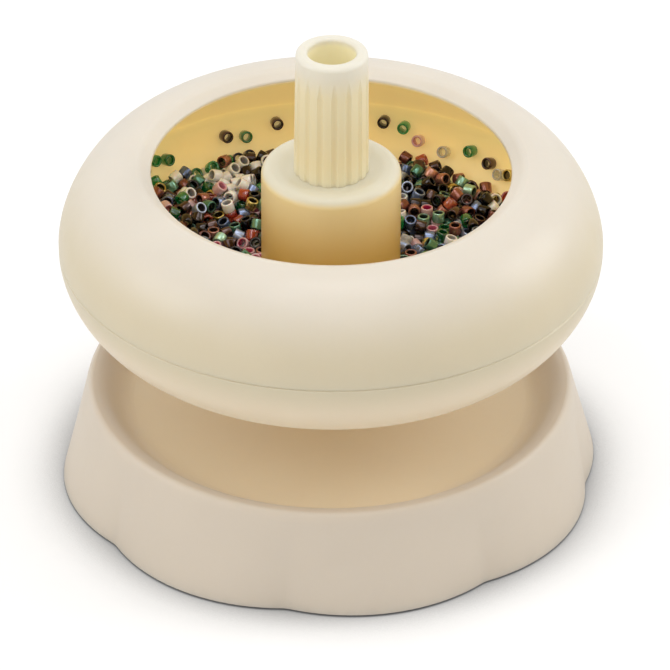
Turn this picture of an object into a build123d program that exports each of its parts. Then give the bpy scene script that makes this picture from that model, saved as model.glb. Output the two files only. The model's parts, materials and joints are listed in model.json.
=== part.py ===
from build123d import *
import math
import os

# A bead spinner: a bowl of beads turns freely on an upright axle in a heavy flared base.
# Millimetres, +Z up. The origin is on the axle's axis, on the table that the feet stand on.

# Bowl, outside
bowl_radius = 34.0
bowl_wall = 2.2
crest_inset = 9.64
crest_height = 10.9
mouth_inset = 2.0
mouth_drop = 0.85
lip_band = 0.9
lip_band_rise = 0.5
lip_land = 0.55
lip_rounding = 0.25
bottom_inset = 10.44
bowl_depth = 11.06
upper_handle_shares = (0.275, 0.69)
lower_handle_shares = (0.434, 0.579)

# Seam between the bowl's two shells
seam_drop = 0.45
seam_groove = 0.16
tongue_height = 1.3
tongue_thickness = 0.9
seam_gap = 0.04

# Base
foot_proud = 0.3
base_radius = 34.34
base_lobes = 8
lobe_kink_depth = 1.28
kink_blend_angle = 1.0
base_rim_height = 12.75
base_shoulder_drop = 1.2
skirt_flare = 3.34
shoulder_run = 0.9
shoulder_handle_share = 0.55
dish_depth = 3.0
dish_slope_run = 5.1
dish_handle_share = 0.5
base_wall = 2.3
boss_radius = 8.0
rib_thickness = 1.6
rib_rise = 2.6

# Feet
foot_count = 4
foot_radius = 3.9
foot_inset = 8.14
foot_recess = 0.7
foot_boss_wall = 1.0
foot_boss_lift = 0.5
foot_rounding = 0.3

# Height of the bowl above the base
equator_above_base = 33.5

# Axle, post and nut
axle_radius = 2.0
axle_gap = 0.02
axle_tip_chamfer = 0.5
axle_tip_reach = 1.0
axle_collar_radius = 3.0
axle_collar_thickness = 0.5
axle_tip_clearance = 0.6
axle_lift = 0.65
post_radius = 5.2
post_foot_radius = 6.6
post_foot_height = 1.4
post_nose_radius = 3.1
post_nose_gap = 0.5
post_shoulder_gap = 0.8
nut_sides = 6
nut_across_flats = 7.0
nut_thickness = 2.2
nut_chamfer = 0.4
washer_radius = 4.5
washer_thickness = 0.8
washer_gap = 0.15
nut_well_gap = 1.2
axle_tail = 0.6

# Ball bearings
race_radius = 6.5
bearing_width = 5.0
ball_radius = 1.19
ball_count = 7
ball_gap = 0.03
race_opening = 1.8
race_edge = 0.25
hub_bore_step = 1.1
cage_width = 1.34
cage_back = 1.75
cage_front = 0.45
cage_pocket_gap = 0.05
spacer_wall = 0.75
fit_gap = 0.03

# Hub column and its foot
hub_radius = 8.7
hub_top_drop = 0.4
hub_top_rounding = 1.2
hub_ring_inset = 1.25
hub_ring_depth = 0.45
hub_ring_handle_share = 0.55
hub_foot_reach = 3.3
hub_foot_height = 3.0
hub_roof = 0.9

# Bearing retainer and screws
retainer_inset = 0.6
retainer_thickness = 1.4
collar_height = 1.36
collar_wall = 0.95
pocket_gap = 0.1
screw_count = 3
screw_inset = 2.7
screw_radius = 1.0
screw_head_radius = 1.8
screw_head_height = 0.9
screw_length = 4.9
screw_slot_width = 0.45
screw_slot_depth = 0.4
screw_hole_gap = 0.05
screw_end_gap = 0.1

# Knob
knob_height = 16.75
knob_bore_radius = 3.0
knob_bore_depth = 16.0
knob_wall = 1.46
knob_taper = 0.2
knob_rounding = 0.65
knob_bore_rounding = 0.45
knob_spigot_step = 0.52
knob_spigot_length = 3.1
flute_count = 16
flute_radius = 0.6
flute_depth = 0.22
flute_plain_top = 2.0
flute_fade = 2.6
flute_first_angle = 261.4

# Beads, as one heap, banked up to one side of the bowl with low waves over its top
bead_bed_drop = 4.2
bead_bank_rise = 1.6
bead_bank_angle = 130.0
bead_wave_rise = 0.3
bead_wave_length = 12.2
bead_wave_angles = (20.0, 80.0, 140.0)
bead_wave_length_shares = (1.0, 1.3, 0.8)
bead_top_steps = 24
bead_gap = 0.15

# One overrun for cuts that pass right through
overrun = 1.0

# Radii that follow from the sizes above
crest_radius = bowl_radius - crest_inset
mouth_radius = crest_radius - mouth_inset
bottom_radius = bowl_radius - bottom_inset
tongue_radius = bowl_radius - bowl_wall + tongue_thickness
lobe_kink_radius = base_radius - lobe_kink_depth
base_shoulder_radius = base_radius - skirt_flare
base_crest_radius = base_shoulder_radius - shoulder_run
dish_edge_radius = base_crest_radius - dish_slope_run
foot_circle_radius = base_radius - foot_inset
ball_pitch_radius = (axle_radius + race_radius) / 2
inner_shoulder_radius = ball_pitch_radius - race_opening / 2
outer_shoulder_radius = ball_pitch_radius + race_opening / 2
cage_inner_radius = ball_pitch_radius - cage_width / 2
cage_outer_radius = ball_pitch_radius + cage_width / 2
web_hole_radius = race_radius + fit_gap
collar_radius = race_radius - fit_gap
hub_ring_radius = hub_radius - hub_ring_inset
hub_foot_radius = hub_radius + hub_foot_reach
retainer_radius = hub_foot_radius - retainer_inset
retainer_hole_radius = post_nose_radius + post_nose_gap
screw_circle_radius = hub_foot_radius - screw_inset
knob_top_radius = knob_bore_radius + knob_wall
knob_foot_radius = knob_top_radius + knob_taper
knob_spigot_radius = knob_foot_radius - knob_spigot_step

# Heights that follow from the sizes above
base_bottom = foot_proud
base_rim = base_bottom + base_rim_height
shoulder_height = base_rim - base_shoulder_drop
dish_floor = base_rim - dish_depth
equator = base_bottom + equator_above_base
bowl_bottom = equator - bowl_depth
bowl_floor = bowl_bottom + bowl_wall
seam_height = equator - seam_drop
mouth_height = equator + crest_height - mouth_drop
hub_top = equator + crest_height - hub_top_drop
hub_ring_floor = hub_top - hub_ring_depth
spigot_bottom = hub_ring_floor - knob_spigot_length
cavity_roof = spigot_bottom - hub_roof
axle_top = cavity_roof - axle_tip_clearance
upper_bearing_top = axle_top - axle_tip_reach
upper_bearing_bottom = upper_bearing_top - bearing_width
retainer_top = bowl_bottom + retainer_thickness
lower_bearing_bottom = retainer_top + collar_height
lower_bearing_top = lower_bearing_bottom + bearing_width
knob_top = hub_ring_floor + knob_height
base_ceiling = dish_floor - base_wall
axle_bottom = base_bottom + axle_lift
nut_bottom = axle_bottom + axle_tail
washer_bottom = nut_bottom + nut_thickness
boss_bottom = washer_bottom + washer_thickness
foot_boss_bottom = base_bottom + foot_boss_lift
foot_top = foot_boss_bottom + foot_recess
post_top = lower_bearing_bottom - axle_collar_thickness
post_shoulder = bowl_bottom - post_shoulder_gap
hub_foot_top = bowl_floor + hub_foot_height


def place(radius, angle, height=0):
    """A point at a radius and an angle in degrees about the axle."""
    turn = math.radians(angle)
    return (radius * math.cos(turn), radius * math.sin(turn), height)


def turned(*edges):
    """The solid that a closed section, drawn as radius and height, sweeps about the axle."""
    return revolve(Plane.XZ * make_face(edges), Axis.Z)


def turned_outline(*points):
    """The same, from the corners of a straight-sided section."""
    return turned(Polyline(*points, close=True))


def ring(outer, inner, bottom, top):
    """A plain tube about the axle."""
    return turned_outline((inner, bottom), (outer, bottom), (outer, top), (inner, top))


def rod(radius, bottom, top):
    """A plain solid cylinder about the axle."""
    return Pos(0, 0, bottom) * Cylinder(radius, top - bottom, align=(Align.CENTER, Align.CENTER, Align.MIN))


def curve(start, end, handle_shares):
    """A quarter of a rounded section, upright where it starts and level where it ends."""
    upright, level = handle_shares
    rise = end[1] - start[1]
    run = start[0] - end[0]
    return Bezier(start, (start[0], start[1] + upright * rise), (end[0] + level * run, end[1]), end)


def scalloped_face(peak, kink, height):
    """A level face edged by outward lobes whose inward kinks are softened; a circle if the radii agree."""
    lobe = 360 / base_lobes
    half_lobe = math.radians(lobe / 2)
    blend = math.radians(kink_blend_angle)
    lobe_centre = (peak ** 2 - kink ** 2) / (2 * (peak - kink * math.cos(half_lobe)))
    lobe_radius = peak - lobe_centre
    lean = half_lobe - blend
    reach = math.sqrt(lobe_radius ** 2 - (lobe_centre * math.sin(lean)) ** 2)
    end_radius = lobe_centre * math.cos(lean) + reach
    facing = math.atan2(end_radius * math.sin(lean), end_radius * math.cos(lean) - lobe_centre)
    turn = facing - half_lobe
    blend_radius = end_radius * math.sin(blend) / math.sin(turn)
    middle = end_radius * math.cos(blend) + blend_radius * (math.cos(turn) - 1)
    edges = []
    for number in range(base_lobes):
        axis = lobe * number
        kink_angle = axis + lobe / 2
        start = place(end_radius, axis - lobe / 2 + kink_blend_angle, height)
        end = place(end_radius, kink_angle - kink_blend_angle, height)
        after = place(end_radius, kink_angle + kink_blend_angle, height)
        edges.append(ThreePointArc(start, place(peak, axis, height), end))
        edges.append(ThreePointArc(end, place(middle, kink_angle, height), after))
    return make_face(edges)


def around(count, radius, shape):
    """Copies of a shape, drawn on the axle's axis, set round it at equal angles."""
    return [Pos(*place(radius, 360 * number / count)) * shape for number in range(count)]


def base_shell():
    """The flared base: a scalloped skirt, a round rim, a shallow dish and a hollow, ribbed underside."""
    skirt_foot = scalloped_face(base_radius, lobe_kink_radius, base_bottom)
    skirt_head = scalloped_face(base_shoulder_radius, base_shoulder_radius, shoulder_height)
    skirt = loft([skirt_foot, skirt_head], ruled=True)
    mean_radius = (base_radius + lobe_kink_radius) / 2
    lean = (mean_radius - base_shoulder_radius) / (shoulder_height - base_bottom)
    handle = shoulder_handle_share * base_shoulder_drop
    shoulder = Bezier(
        (base_shoulder_radius, shoulder_height),
        (base_shoulder_radius - lean * handle, shoulder_height + handle),
        (base_crest_radius + shoulder_handle_share * (base_shoulder_radius - base_crest_radius), base_rim),
        (base_crest_radius, base_rim),
    )
    crown = turned(
        Line((0, shoulder_height), (base_shoulder_radius, shoulder_height)),
        shoulder,
        Line((base_crest_radius, base_rim), (0, base_rim)),
        Line((0, base_rim), (0, shoulder_height)),
    )
    run = dish_handle_share * (base_crest_radius - dish_edge_radius)
    slope = Bezier(
        (base_crest_radius, base_rim),
        (base_crest_radius - run, base_rim),
        (dish_edge_radius + run, dish_floor),
        (dish_edge_radius, dish_floor),
    )
    dish = turned(
        slope,
        Line((dish_edge_radius, dish_floor), (0, dish_floor)),
        Line((0, dish_floor), (0, base_rim + overrun)),
        Line((0, base_rim + overrun), (base_crest_radius, base_rim + overrun)),
        Line((base_crest_radius, base_rim + overrun), (base_crest_radius, base_rim)),
    )
    hollow_foot = scalloped_face(base_radius - base_wall, lobe_kink_radius - base_wall, base_bottom)
    hollow_radius = base_shoulder_radius - base_wall
    hollow = loft([hollow_foot, scalloped_face(hollow_radius, hollow_radius, base_ceiling)], ruled=True)
    shell = skirt + crown - dish - hollow
    rib_height = base_ceiling - base_bottom - rib_rise
    rib = Pos(0, 0, base_bottom + rib_rise) * Box(
        base_shoulder_radius, rib_thickness, rib_height, align=(Align.MIN, Align.CENTER, Align.MIN)
    )
    for number in range(base_lobes):
        shell += Rot(0, 0, 360 * (number + 1 / 2) / base_lobes) * rib
    shell += rod(boss_radius, boss_bottom, base_ceiling)
    foot_boss = rod(foot_radius + foot_boss_wall, foot_boss_bottom, base_ceiling)
    foot_seat = rod(foot_radius + fit_gap, foot_boss_bottom, foot_top)
    for copy in around(foot_count, foot_circle_radius, foot_boss):
        shell += copy
    for copy in around(foot_count, foot_circle_radius, foot_seat):
        shell -= copy
    shell -= rod(washer_radius + nut_well_gap, base_bottom, boss_bottom)
    return shell - rod(axle_radius + washer_gap, base_bottom, base_rim)


def foot_pads():
    """The round rubber pads that the base stands on."""
    pad = rod(foot_radius, 0, foot_top)
    pad = fillet(pad.edges().group_by(Axis.Z)[0], foot_rounding)
    return around(foot_count, foot_circle_radius, pad)


def spindle_post():
    """The neck that carries the axle, with a nose that reaches up into the bowl's retainer."""
    bore = axle_radius + axle_gap
    return turned_outline(
        (bore, dish_floor),
        (post_foot_radius, dish_floor),
        (post_radius, dish_floor + post_foot_height),
        (post_radius, post_shoulder),
        (post_nose_radius, post_shoulder),
        (post_nose_radius, post_top),
        (bore, post_top),
    )


def axle_pin():
    """The steel axle: a thin collar sits on the post and carries the lower bearing."""
    pin = rod(axle_radius, axle_bottom, axle_top)
    pin = chamfer(pin.edges().group_by(Axis.Z)[-1], axle_tip_chamfer)
    return pin + rod(axle_collar_radius, post_top, lower_bearing_bottom)


def axle_washer():
    """The plain washer under the base's boss."""
    return ring(washer_radius, axle_radius + washer_gap, washer_bottom, boss_bottom)


def axle_nut():
    """The six-sided nut that pulls the axle and post down on the base."""
    flat = nut_across_flats / 2
    block = extrude(RegularPolygon(flat, nut_sides, major_radius=False), nut_thickness)
    corner = flat / math.cos(math.pi / nut_sides)
    rounded = turned_outline(
        (0, nut_bottom),
        (corner - nut_chamfer, nut_bottom),
        (corner, nut_bottom + nut_chamfer),
        (corner, washer_bottom),
        (0, washer_bottom),
    )
    nut = (Pos(0, 0, nut_bottom) * block) & rounded
    return nut - rod(axle_radius + fit_gap, nut_bottom, washer_bottom)


def ball_track(bottom):
    """The round groove that the balls of a bearing run in."""
    return Pos(0, 0, bottom + bearing_width / 2) * Torus(ball_pitch_radius, ball_radius + ball_gap)


def inner_race(bottom):
    """A bearing's inner ring, a sliding fit on the axle."""
    band = ring(inner_shoulder_radius, axle_radius + axle_gap, bottom, bottom + bearing_width)
    return band - ball_track(bottom)


def outer_race(bottom):
    """A bearing's outer ring, held in the hub."""
    band = ring(race_radius, outer_shoulder_radius, bottom, bottom + bearing_width)
    circles = band.edges().filter_by(GeomType.CIRCLE)
    rims = circles.filter_by(lambda edge: edge.radius > outer_shoulder_radius + fit_gap)
    return chamfer(rims, race_edge) - ball_track(bottom)


def bearing_balls(bottom, radius):
    """A bearing's balls, or the pockets for them when the radius is larger."""
    return around(ball_count, ball_pitch_radius, Pos(0, 0, bottom + bearing_width / 2) * Sphere(radius))


def spacer(outer):
    """A plain sleeve that keeps the two bearings' races apart."""
    return ring(outer, outer - spacer_wall, lower_bearing_top, upper_bearing_bottom)


def ball_cage(bottom):
    """The ring that keeps a bearing's balls apart."""
    middle = bottom + bearing_width / 2
    cage = ring(cage_outer_radius, cage_inner_radius, middle - cage_back, middle + cage_front)
    for pocket in bearing_balls(bottom, ball_radius + cage_pocket_gap):
        cage -= pocket
    return cage


def upper_shell():
    """The bowl's upper half: it rolls over to a banded lip and is rebated for the lower half's tongue."""
    crest = (crest_radius, equator + crest_height)
    band_edge = (mouth_radius + lip_band, mouth_height + lip_band_rise)
    lip_edge = (mouth_radius, mouth_height)
    lip_foot = (mouth_radius, mouth_height - lip_land)
    ceiling = (crest_radius, equator + crest_height - bowl_wall)
    inner_radius = bowl_radius - bowl_wall
    shell = turned(
        Line((inner_radius, seam_height), (bowl_radius - seam_groove, seam_height)),
        Line((bowl_radius - seam_groove, seam_height), (bowl_radius, seam_height + seam_groove)),
        Line((bowl_radius, seam_height + seam_groove), (bowl_radius, equator)),
        curve((bowl_radius, equator), crest, upper_handle_shares),
        TangentArc(crest, band_edge, tangent=(-1, 0)),
        Line(band_edge, lip_edge),
        Line(lip_edge, lip_foot),
        Line(lip_foot, ceiling),
        curve((inner_radius, equator), ceiling, upper_handle_shares),
        Line((inner_radius, equator), (inner_radius, seam_height)),
    )
    circles = shell.edges().filter_by(GeomType.CIRCLE)
    lip_rims = circles.filter_by(lambda edge: edge.radius < mouth_radius + fit_gap)
    shell = fillet(lip_rims, lip_rounding)
    rebate_top = seam_height + tongue_height + seam_gap
    return shell - ring(tongue_radius + seam_gap, inner_radius - bowl_wall, seam_height, rebate_top)


def lower_shell():
    """The bowl's lower half: a round-sided dish with a tongue at its rim and a stepped hole below."""
    inner_radius = bowl_radius - bowl_wall
    shell = turned(
        Line((bowl_radius - seam_groove, seam_height), (bowl_radius, seam_height - seam_groove)),
        curve((bowl_radius, seam_height - seam_groove), (bottom_radius, bowl_bottom), lower_handle_shares),
        Line((bottom_radius, bowl_bottom), (web_hole_radius, bowl_bottom)),
        Line((web_hole_radius, bowl_bottom), (web_hole_radius, bowl_floor)),
        Line((web_hole_radius, bowl_floor), (bottom_radius, bowl_floor)),
        curve((inner_radius, seam_height), (bottom_radius, bowl_floor), lower_handle_shares),
        Line((inner_radius, seam_height), (bowl_radius - seam_groove, seam_height)),
    )
    shell += ring(tongue_radius, inner_radius, seam_height, seam_height + tongue_height)
    shell -= rod(retainer_radius + pocket_gap, bowl_bottom, retainer_top)
    hole = rod(screw_radius + screw_hole_gap, retainer_top, bowl_floor)
    for copy in around(screw_count, screw_circle_radius, hole):
        shell -= copy
    return shell


def hub_dish():
    """The shallow dish in the column's top, a soft double curve from its rim in to the knob's foot."""
    level = hub_ring_handle_share * (hub_ring_radius - knob_foot_radius)
    slope = Bezier(
        (hub_ring_radius, hub_top),
        (hub_ring_radius - level, hub_top),
        (knob_foot_radius + level, hub_ring_floor),
        (knob_foot_radius, hub_ring_floor),
    )
    middle = Polyline((knob_foot_radius, hub_ring_floor), (0, hub_ring_floor), (0, hub_top))
    return turned(slope, middle, Line((0, hub_top), (hub_ring_radius, hub_top)))


def hub_column():
    """The ivory column in the middle of the bowl: it holds the bearings and stands on a screwed foot."""
    column = rod(hub_radius, bowl_floor, hub_top)
    column = fillet(column.edges().group_by(Axis.Z)[-1], hub_top_rounding)
    column += rod(hub_foot_radius, bowl_floor, hub_foot_top)
    column -= hub_dish()
    column -= rod(knob_spigot_radius + fit_gap, spigot_bottom, hub_top)
    column -= rod(race_radius + fit_gap, bowl_floor, upper_bearing_top)
    column -= rod(race_radius - hub_bore_step, bowl_floor, cavity_roof)
    hole = rod(screw_radius + screw_hole_gap, bowl_floor, bowl_bottom + screw_length + screw_end_gap)
    for copy in around(screw_count, screw_circle_radius, hole):
        column -= copy
    return column


def bearing_retainer():
    """The round plate under the bowl whose collar holds the lower bearing up."""
    plate = ring(retainer_radius, retainer_hole_radius, bowl_bottom, retainer_top)
    plate += ring(collar_radius, collar_radius - collar_wall, retainer_top, lower_bearing_bottom)
    hole = rod(screw_radius + screw_hole_gap, bowl_bottom, retainer_top) + screw_head(screw_hole_gap)
    for copy in around(screw_count, screw_circle_radius, hole):
        plate -= copy
    return plate


def screw_head(gap):
    """A screw's countersunk head, or the seat for it when there is a gap."""
    return turned_outline(
        (0, bowl_bottom),
        (screw_head_radius + gap, bowl_bottom),
        (screw_radius + gap, bowl_bottom + screw_head_height),
        (0, bowl_bottom + screw_head_height),
    )


def hub_screws():
    """The countersunk screws that clamp the retainer, the lower shell and the hub together."""
    screw = screw_head(0) + rod(screw_radius, bowl_bottom, bowl_bottom + screw_length)
    slot = Pos(0, 0, bowl_bottom + screw_slot_depth / 2) * Box(
        2 * screw_radius, screw_slot_width, screw_slot_depth
    )
    screw = screw - slot - Rot(0, 0, 90) * slot
    return around(screw_count, screw_circle_radius, screw)


def knob():
    """The hollow fluted finger knob, with a spigot that plugs into the hub."""
    body = turned_outline(
        (0, spigot_bottom),
        (knob_spigot_radius, spigot_bottom),
        (knob_spigot_radius, hub_ring_floor),
        (knob_foot_radius, hub_ring_floor),
        (knob_top_radius, knob_top),
        (knob_bore_radius, knob_top),
        (knob_bore_radius, knob_top - knob_bore_depth),
        (0, knob_top - knob_bore_depth),
    )
    rims = body.edges().group_by(Axis.Z)[-1].sort_by(SortBy.RADIUS)
    body = fillet(rims[-1], knob_rounding)
    rims = body.edges().filter_by(GeomType.CIRCLE).group_by(Axis.Z)[-1].sort_by(SortBy.RADIUS)
    body = fillet(rims[0], knob_bore_rounding)
    fade_start = knob_height - flute_plain_top - flute_fade
    tip = fade_start + flute_fade * flute_radius / flute_depth
    cutter = turned_outline((0, 0), (flute_radius, 0), (flute_radius, fade_start), (0, tip))
    lean = math.degrees(math.atan(knob_taper / knob_height))
    cutter = Pos(knob_foot_radius - flute_depth + flute_radius, 0, hub_ring_floor) * Rot(0, -lean, 0) * cutter
    for number in range(flute_count):
        body -= Rot(0, 0, flute_first_angle + 360 * number / flute_count) * cutter
    return body


def bed_height(across, along):
    """Height of the heap's top above a point of the table: its bank and its waves."""
    bank = math.radians(bead_bank_angle)
    uphill = across * math.cos(bank) + along * math.sin(bank)
    height = equator - bead_bed_drop + bead_bank_rise * uphill / bowl_radius
    for angle, share in zip(bead_wave_angles, bead_wave_length_shares):
        turn = math.radians(angle)
        way = across * math.cos(turn) + along * math.sin(turn)
        height += bead_wave_rise * math.cos(2 * math.pi * way / (bead_wave_length * share))
    return height


def bead_top():
    """The heap's top, as one smooth face that covers the whole bowl."""
    places = [bowl_radius * (2 * step / bead_top_steps - 1) for step in range(bead_top_steps + 1)]
    rows = [[(across, along, bed_height(across, along)) for across in places] for along in places]
    return Face.make_surface_from_array_of_points(rows)


def bead_fill():
    """The heap of small beads that lies in the bowl round the hub, as one solid."""
    inner_radius = bowl_radius - bowl_wall - bead_gap
    floor = bowl_floor + bead_gap
    heap = turned(
        curve((inner_radius, seam_height), (bottom_radius, floor), lower_handle_shares),
        Line((bottom_radius, floor), (hub_radius + bead_gap, floor)),
        Line((hub_radius + bead_gap, floor), (hub_radius + bead_gap, seam_height)),
        Line((hub_radius + bead_gap, seam_height), (inner_radius, seam_height)),
    )
    heap -= rod(hub_foot_radius + bead_gap, bowl_floor, hub_foot_top + bead_gap)
    return heap - extrude(bead_top(), bowl_depth, dir=(0, 0, 1))


def save(name, *solids):
    """Write one node: a single solid, or a group of like solids."""
    shape = solids[0] if len(solids) == 1 else Compound(list(solids))
    shape.label = name
    export_step(shape, "parts/" + name + ".step")


os.makedirs("parts", exist_ok=True)
save("base_shell", base_shell())
for number, pad in enumerate(foot_pads(), 1):
    save("foot_pad_%d" % number, pad)
save("spindle_post", spindle_post())
save("axle_pin", axle_pin())
save("axle_washer", axle_washer())
save("axle_nut", axle_nut())
for side, bottom in (("lower", lower_bearing_bottom), ("upper", upper_bearing_bottom)):
    save(side + "_inner_race", inner_race(bottom))
    save(side + "_outer_race", outer_race(bottom))
    save(side + "_ball_cage", ball_cage(bottom))
    save(side + "_bearing_balls", *bearing_balls(bottom, ball_radius))
save("inner_spacer_sleeve", spacer(axle_radius + axle_gap + spacer_wall))
save("outer_spacer_ring", spacer(race_radius))
save("bowl_upper_shell", upper_shell())
save("bowl_lower_shell", lower_shell())
save("hub_column", hub_column())
save("bearing_retainer", bearing_retainer())
for number, screw in enumerate(hub_screws(), 1):
    save("hub_screw_%d" % number, screw)
save("finger_knob", knob())
save("bead_fill", bead_fill())
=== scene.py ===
"""Dresses the bead spinner: moulded ivory plastic, steel, rubber feet and a bowl of poured glass beads.

Metres, +Z up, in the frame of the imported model. The bowl turns about the Z axis.
"""
import json
import math
import random

import bmesh
import bpy
from mathutils import Matrix, Vector


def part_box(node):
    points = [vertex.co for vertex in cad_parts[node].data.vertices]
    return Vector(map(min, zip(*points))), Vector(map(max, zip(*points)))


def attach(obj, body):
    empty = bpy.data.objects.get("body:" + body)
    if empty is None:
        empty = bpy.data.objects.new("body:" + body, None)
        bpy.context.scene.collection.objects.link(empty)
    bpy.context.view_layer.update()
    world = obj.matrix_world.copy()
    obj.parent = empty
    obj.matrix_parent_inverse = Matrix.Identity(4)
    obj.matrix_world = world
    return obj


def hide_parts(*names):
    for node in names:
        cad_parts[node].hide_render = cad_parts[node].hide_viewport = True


bl_info = {
    "name": "Bead Spinner Dresser",
    "version": (1, 0, 0),
    "blender": (4, 5, 0),
    "location": "View3D > Sidebar > Bead Spinner",
    "description": "Gives a bead spinner its plastics, metals and rubber, its beads and its studio",
    "category": "Object",
}

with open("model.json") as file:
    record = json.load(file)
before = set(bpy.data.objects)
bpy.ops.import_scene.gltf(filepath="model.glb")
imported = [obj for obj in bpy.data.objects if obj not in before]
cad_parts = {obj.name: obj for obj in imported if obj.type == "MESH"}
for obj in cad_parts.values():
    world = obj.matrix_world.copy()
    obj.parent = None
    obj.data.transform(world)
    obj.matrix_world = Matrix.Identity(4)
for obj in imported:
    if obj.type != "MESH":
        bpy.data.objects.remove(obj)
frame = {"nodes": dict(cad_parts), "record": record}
nodes = frame["nodes"]

mm = 0.001

# The nodes' boxes and the sizes in them that the finishes and the beads are fitted to
lower_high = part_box("bowl_lower_shell")[1]
upper_low, upper_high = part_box("bowl_upper_shell")
hub_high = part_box("hub_column")[1]
knob_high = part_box("finger_knob")[1]
base_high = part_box("base_shell")[1]
heap_low, heap_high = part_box("bead_fill")
bowl_radius = lower_high.x
seam_height = upper_low.z
bowl_top = upper_high.z
hub_foot_radius = hub_high.x
hub_top = hub_high.z
knob_radius = knob_high.x
knob_top = knob_high.z
base_radius = base_high.x
base_top = base_high.z
heap_floor = heap_low.z
heap_top = heap_high.z

# Where the plastics' tones change, most of them painted light and shade and the base's dust real: the start
# and the end of each fade
wall_facing = (0.1, 0.5)
lip_below_top = (1.5 * mm, 0.9 * mm)
joint_from_edge = (1.9 * mm, 1.4 * mm)
side_above_seam = 3.0 * mm
side_below_top = 0.2 * mm
under_below_seam = 5.0 * mm
seam_line = (0.05 * mm, 0.28 * mm)
dish_radius_shares = (0.7, 0.87)
dish_height_shares = (0.5, 0.7)
dust_height_shares = (0.03, 0.16)
hub_side_facing = (0.1, 0.7)
plain_below_top = (5.0 * mm, 0.8 * mm)
hole_below_top = (1.2 * mm, 0.2 * mm)
hole_from_edge = (1.56 * mm, 1.16 * mm)
flutes_from_edge = (0.31 * mm, 0.06 * mm)

# How much they change: the seam's painted light line, the foot's dust, the painted shade on the flutes'
# floors, and how bright the knob's hole glows with painted light beside the bowl's thin wall
seam_painted_light = 0.06
dust_loss = 0.05
flute_painted_shade = 0.02
hole_light_share = 0.3

# How much clouds and specks vary the plastics' tone, where their noise counts as rubbed or dusty, and how
# much duller rubbed places and pale clouds are
cloud_tones = (0.965, 1.025)
speck_tones = (0.992, 1.008)
rubbed_range = (0.45, 0.7)
dust_range = (0.4, 0.75)
rubbed_dulling = 0.08
cloud_dulling = 0.05

# How far red, green and blue light spread in the plastic, and how strongly it bends light
light_spread = (1.0, 0.9, 0.75)
plastic_bending = 1.49
no_light = (0.0, 0.0, 0.0)

# How far apart the small variations in the surfaces lie, and how deep their grain is
cloud_spacing = 9.0 * mm
speck_spacing = 0.5 * mm
skin_spacing = 1.3 * mm
skin_depth = 0.012 * mm
rub_spacing = 5.0 * mm
dust_spacing = 2.5 * mm
dull_spacing = 2.0 * mm
bloom_spacing = 1.6 * mm
pit_spacing = 0.15 * mm
metal_grain_depth = 0.004 * mm
nylon_spacing = 0.3 * mm
nylon_depth = 0.006 * mm
rubber_spacing = 0.25 * mm
rubber_depth = 0.02 * mm
rubber_bloom_spacing = 2.2 * mm
glass_cloud_spacing = 0.4 * mm


def shade(red, green, blue):
    """A colour as a shader takes it, from the 0 to 255 levels that a screen shows."""
    levels = [level / 255 for level in (red, green, blue)]
    return tuple(v / 12.92 if v <= 0.04045 else ((v + 0.055) / 1.055) ** 2.4 for v in levels)


def length(label, description, default):
    """A length in metres that a user may change."""
    return bpy.props.FloatProperty(
        name=label, description=description, default=default, unit="LENGTH", precision=5
    )


def share(label, description, default, top=1.0):
    """A plain number from zero to a top."""
    return bpy.props.FloatProperty(name=label, description=description, default=default, min=0.0, max=top)


def watts(label, description, default):
    """A lamp's power."""
    return bpy.props.FloatProperty(
        name=label, description=description, default=default, min=0.0, unit="POWER"
    )


def angle(label, description, default):
    """An angle, given in degrees and kept in radians."""
    return bpy.props.FloatProperty(
        name=label, description=description, default=math.radians(default), subtype="ANGLE"
    )


def colour(label, description, *levels):
    """A colour, given in screen levels."""
    return bpy.props.FloatVectorProperty(
        name=label, description=description, default=shade(*levels),
        subtype="COLOR", size=3, min=0.0, max=1.0,
    )


class SpinnerPlastics(bpy.types.PropertyGroup):
    """Colours and gloss of the moulded pieces; most colours hold painted light and shade."""

    bowl: colour("Bowl top", "The bowl's outer face round its mouth", 225, 216, 201)
    # Painted shade on the side and painted warm light on the underside, by how light falls on the one ivory
    # plastic
    bowl_side_painted_shade: colour("Bowl side", "The bowl's outer face at its seam", 216, 203, 174)
    bowl_under_painted_light: colour("Bowl underside", "The bowl below its seam", 232, 216, 188)
    # Painted light: the golden inner wall stands in for light coming through the wall, and also colours its
    # glow
    bowl_inside_painted_light: colour("Bowl inside", "The bowl's inner wall, where light comes through", 242, 218, 148)
    base: colour("Base", "The base's skirt and rim", 216, 203, 185)
    # Painted light: the dish in the bowl's shade is painted paler and warmer than the skirt
    dish: colour("Dish", "The floor of the base's dish", 242, 224, 192)
    hub: colour("Hub", "The top of the column in the bowl", 222, 215, 192)
    # Painted light and shade: the column's side is painted paler and golden, its foot deeper golden
    hub_side_painted_light: colour("Hub side", "The column's side below its rim", 244, 226, 178)
    hub_foot_painted_shade: colour("Hub foot", "The column where the beads lie against it", 216, 178, 96)
    knob: colour("Knob", "The finger knob's flutes", 239, 227, 190)
    # Painted light: the knob's plain top is painted paler, and its hole golden and glowing
    knob_top: colour("Knob top", "The finger knob's plain top", 234, 228, 212)
    knob_hole_painted_light: colour("Knob hole", "The wall of the finger knob's hole", 240, 232, 198)
    gloss: share("Roughness", "How soft the plastic's shine is", 0.34)
    base_gloss: share("Base roughness", "How soft the base's shine is", 0.42)
    glow: share("Translucence", "How much light the plastic carries inside", 0.4)
    wall_light: share("Wall light", "How much of the light outside comes through thin walls", 0.32)
    glow_depth: length("Glow depth", "How far light goes in the plastic", 2.0 * mm)


class SpinnerMetals(bpy.types.PropertyGroup):
    """Colours of the steel, rubber and nylon pieces."""

    steel: colour("Axle steel", "The ground axle", 196, 197, 200)
    bearing: colour("Bearing steel", "Races and balls", 205, 206, 210)
    zinc: colour("Zinc", "Plated nut, washer and screws", 188, 192, 196)
    nylon: colour("Nylon", "The ball cages", 166, 130, 80)
    rubber: colour("Rubber", "The foot pads", 52, 52, 54)


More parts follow.
